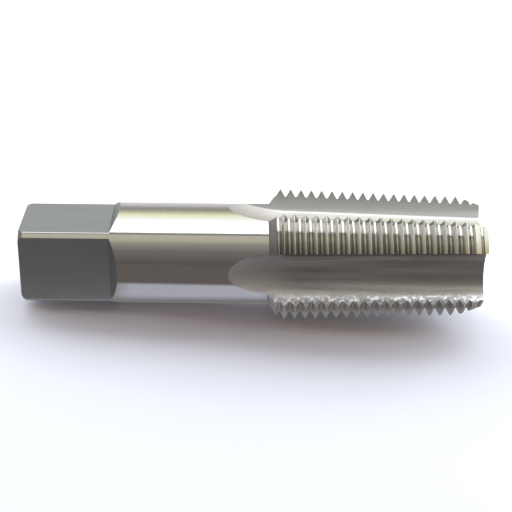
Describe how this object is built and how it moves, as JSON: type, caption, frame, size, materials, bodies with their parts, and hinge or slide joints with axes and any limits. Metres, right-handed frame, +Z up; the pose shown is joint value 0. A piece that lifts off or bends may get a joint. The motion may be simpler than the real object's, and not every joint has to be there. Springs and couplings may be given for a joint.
{
  "type": "thread tap",
  "caption": "Ground taper pipe tap with a square drive, plain shank, straight flutes and a tapered right-hand thread.",
  "frame": {"origin": "centre of the bounding box in plan, at the surface the tap rests on", "axes": "+X along the tap towards the cutting end, +Z up; the tap axis rises 2.8 degrees towards +X, as it lies at rest"},
  "size_m": [0.08, 0.0204, 0.0207],
  "materials": {
    "tool_steel": "ground high-speed steel, darker on the milled square"
  },
  "bodies": {
    "root": {"thread_tap": "tool_steel"}
  },
  "joints": []
}
